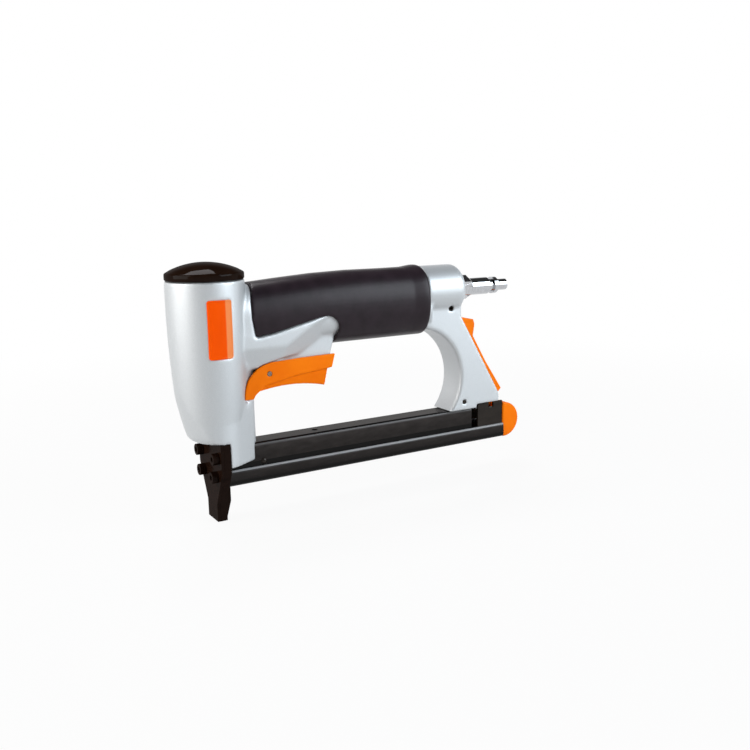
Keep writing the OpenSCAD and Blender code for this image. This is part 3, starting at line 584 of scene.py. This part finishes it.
# bare badge plate: rounded corners, a fine raised rim, bent to the long arc of the body
badgePlate = {
    "halfWide": 7.3, "low": 101.1, "high": 134.9, "corner": 1.4, "cornerInset": 0.6, "cornerLeast": 0.15,
    "cornerStep": 15, "runSteps": 4, "arcZ": 130.0, "arcR": 23.19, "arc": 626.3,
    "loops": [(0, -0.55), (0, 0.18), (0.22, 0.4), (0.75, 0.4), (0.95, 0.26), (1.8, 0.26), (3.2, 0.26),
              (5.0, 0.26), (6.9, 0.26)],     # inset from the edge, lift off the body
}


def badgeRing(w, h, c, s):
    turns = range(0, 91, s["cornerStep"])
    ring = []
    for cx, cz, start in ((w - c, h - c, 0), (c - w, h - c, 90), (c - w, c - h, 180), (w - c, c - h, 270)):
        angles = [math.radians(start + q) for q in turns]
        ring += [(cx + c * math.cos(a), cz + c * math.sin(a)) for a in angles]
    full = []
    for k, (x, z) in enumerate(ring):       # short steps along the straight runs, so that the plate bends
        x2, z2 = ring[(k + 1) % len(ring)]
        steps = s["runSteps"] if k % len(turns) == len(turns) - 1 else 1
        full += [(x + (x2 - x) * q / steps, z + (z2 - z) * q / steps) for q in range(steps)]
    return full


def makeBadge(s):
    high = (s["high"] - s["low"]) / 2
    mid = (s["high"] + s["low"]) / 2
    points, faces = [], []
    for inset, lift in s["loops"]:
        wide = s["halfWide"] - inset
        corner = max(min(s["corner"] - inset * s["cornerInset"], wide), s["cornerLeast"])
        ring = badgeRing(wide, high - inset, corner, s)
        for x, z in ring:
            r = s["arcR"] - (mid + z - s["arcZ"]) ** 2 / (2 * s["arc"]) + lift
            points.append((x, -math.sqrt(r * r - x * x), mid + z))
    n, last = len(ring), len(s["loops"]) - 1
    for k in range(last):
        for i in range(n):
            j = (i + 1) % n
            faces.append((k * n + i, k * n + j, (k + 1) * n + j, (k + 1) * n + i))
    faces.append(tuple(range(n)))
    faces.append(tuple(range(last * n, (last + 1) * n)))
    addPiece(addMesh("badgePlate", points, faces), "badge_plate")


makeBadge(badgePlate)
print("cap and badge made")

# springs: smooth copies of the solid, listed with the joint they push against, their axis and their travel in
# mm
springs = {
    "valve_spring": {"name": "valveSpring", "joint": "stem_lift", "along": (0, 0, 1), "travel": 2.3},
    "head_spring": {"name": "headSpring", "joint": "head_lift", "along": (0, 0, 1), "travel": 3.0},
    "pusher_spring": {"name": "pusherSpring", "joint": "pusher_back", "along": (1, 0, 0), "travel": 110.0},
}


def addSpring(node, s):
    obj = weldedCopy(node, s["name"])
    smoothFaces(obj.data)
    addPiece(obj, node)
    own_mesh(obj)


for node, s in springs.items():
    addSpring(node, s)

# the pieces left are hidden inside: solids as they are, with their own finish
for node, obj in nodes.items():
    if not obj.hide_render:
        setFinish(obj, slotOf[node])
print("pieces dressed")

# camera as fitted to the photograph
viewSet = {
    "azimuth": -30.59, "elevation": 10.86, "roll": 1.09, "distance": 0.5675, "target": (0.11382, 0, 0.0758),
    "lens": 41.14, "sensor": 36, "nearest": 0.01,
}


def addCamera(s):
    a, e, r = (math.radians(s[k]) for k in ("azimuth", "elevation", "roll"))
    back = Vector((math.sin(a) * math.cos(e), -math.cos(a) * math.cos(e), math.sin(e)))
    right = Vector((math.cos(a), math.sin(a), 0))
    up = back.cross(right)
    rolledRight = right * math.cos(r) - up * math.sin(r)
    rolledUp = right * math.sin(r) + up * math.cos(r)
    spot = Vector(s["target"]) + back * s["distance"]
    data = bpy.data.cameras.new("photoCamera")
    data.lens = s["lens"]
    data.sensor_width = s["sensor"]
    data.clip_start = s["nearest"]
    cam = addObject("photoCamera", data)
    turn = Matrix((rolledRight, rolledUp, back)).transposed().to_4x4()
    cam.matrix_world = Matrix.Translation(spot) @ turn
    bpy.context.scene.camera = cam


addCamera(viewSet)

# floor and light: white walls under a dark ceiling are seen and mirrored, boxes at both sides and above
# light the tool, and the room is darker on the side behind the camera
studio = {
    "floorZ": -0.0006, "floorX": 0.11, "floorSize": 8.0, "floorColour": (0.52, 0.52, 0.52),
    "glow": (0.93, 1.0), "glowSpan": (0.25, 0.75),
    "wallToCeiling": (1.0, 0.05), "wallTop": (0.26, 0.62), "softLight": 0.14,
    "cameraSide": (-0.51, -0.86, 0.0), "cameraSideSpan": (0.1, 0.9), "cameraSideDark": 0.45,
}
lamps = {
    "keyBox": {"at": (-0.98, 0.02, 0.50), "size": (1.05, 0.95), "power": 14.5, "tint": (1.0, 0.985, 0.96)},
    "fillBox": {"at": (0.88, -0.83, 0.56), "size": (0.85, 0.8), "power": 15.5, "tint": (0.85, 0.935, 1.0)},
    "topBox": {"at": (0.02, 0.52, 1.08), "size": (0.66, 0.32), "power": 8, "tint": (1.0, 0.98, 1.0)},
}
lampAim = (0.1, 0, 0.08)


def addSeenRays(tree):
    path = tree.nodes.new("ShaderNodeLightPath")
    total = path.outputs["Is Camera Ray"]
    for kind in ("Is Glossy Ray", "Is Transmission Ray"):
        total = addMath(tree, "MAXIMUM", total, path.outputs[kind]).outputs[0]
    return total


def addFloor(s):
    h = s["floorSize"] / 2
    mesh = bpy.data.meshes.new("paleFloor")
    mesh.from_pydata([(-h, -h, 0), (h, -h, 0), (h, h, 0), (-h, h, 0)], [], [(0, 1, 2, 3)])
    floor = addObject("paleFloor", mesh)
    floor.location = (s["floorX"], 0, s["floorZ"])
    mat = bpy.data.materials.new("paleFloor")
    mat.use_nodes = True
    tree = mat.node_tree
    tree.nodes.clear()
    out = tree.nodes.new("ShaderNodeOutputMaterial")
    matt = tree.nodes.new("ShaderNodeBsdfDiffuse")
    matt.inputs["Color"].default_value = (*s["floorColour"], 1)
    shine = tree.nodes.new("ShaderNodeEmission")
    shine.inputs["Color"].default_value = (1, 1, 1, 1)
    coords = tree.nodes.new("ShaderNodeTexCoord").outputs["Object"]
    away = tree.nodes.new("ShaderNodeVectorMath")
    away.operation = "LENGTH"
    tree.links.new(coords, away.inputs[0])
    fade = addEasedSpan(tree, away.outputs["Value"], s["glowSpan"], s["glow"])
    mix = tree.nodes.new("ShaderNodeMixShader")
    tree.links.new(addMath(tree, "MULTIPLY", addSeenRays(tree), fade).outputs[0], mix.inputs[0])
    tree.links.new(matt.outputs[0], mix.inputs[1])
    tree.links.new(shine.outputs[0], mix.inputs[2])
    tree.links.new(mix.outputs[0], out.inputs["Surface"])
    mesh.materials.append(mat)


def addWorld(s):
    world = bpy.data.worlds.new("studioWorld")
    bpy.context.scene.world = world
    world.use_nodes = True
    tree = world.node_tree
    tree.nodes.clear()
    out = tree.nodes.new("ShaderNodeOutputWorld")
    back = tree.nodes.new("ShaderNodeBackground")
    back.inputs["Color"].default_value = (1, 1, 1, 1)
    coords = tree.nodes.new("ShaderNodeTexCoord").outputs["Generated"]
    split = tree.nodes.new("ShaderNodeSeparateXYZ")
    tree.links.new(coords, split.inputs[0])
    level = addEasedSpan(tree, split.outputs["Z"], s["wallTop"], s["wallToCeiling"])
    facing = tree.nodes.new("ShaderNodeVectorMath")
    facing.operation = "DOT_PRODUCT"
    facing.inputs[1].default_value = s["cameraSide"]
    tree.links.new(coords, facing.inputs[0])
    shade = addEasedSpan(tree, facing.outputs["Value"], s["cameraSideSpan"], (0, s["cameraSideDark"]))
    room = addMath(tree, "SUBTRACT", level, shade)
    room.use_clamp = True
    mix = tree.nodes.new("ShaderNodeMix")
    mix.inputs["A"].default_value = s["softLight"]
    tree.links.new(addSeenRays(tree), mix.inputs["Factor"])
    tree.links.new(room.outputs[0], mix.inputs["B"])
    tree.links.new(mix.outputs["Result"], back.inputs["Strength"])
    tree.links.new(back.outputs[0], out.inputs["Surface"])


def addLamp(name, s):
    data = bpy.data.lights.new(name, "AREA")
    data.energy = s["power"]
    data.shape = "RECTANGLE"
    data.size, data.size_y = s["size"]
    data.color = s["tint"]
    lamp = addObject(name, data)
    lamp.location = s["at"]
    aim = Vector(lampAim) - Vector(s["at"])
    lamp.rotation_euler = aim.to_track_quat("-Z", "Y").to_euler()


addFloor(studio)
addWorld(studio)
for name, s in lamps.items():
    addLamp(name, s)
bpy.context.scene.view_settings.view_transform = "Standard"
print("stage lit")
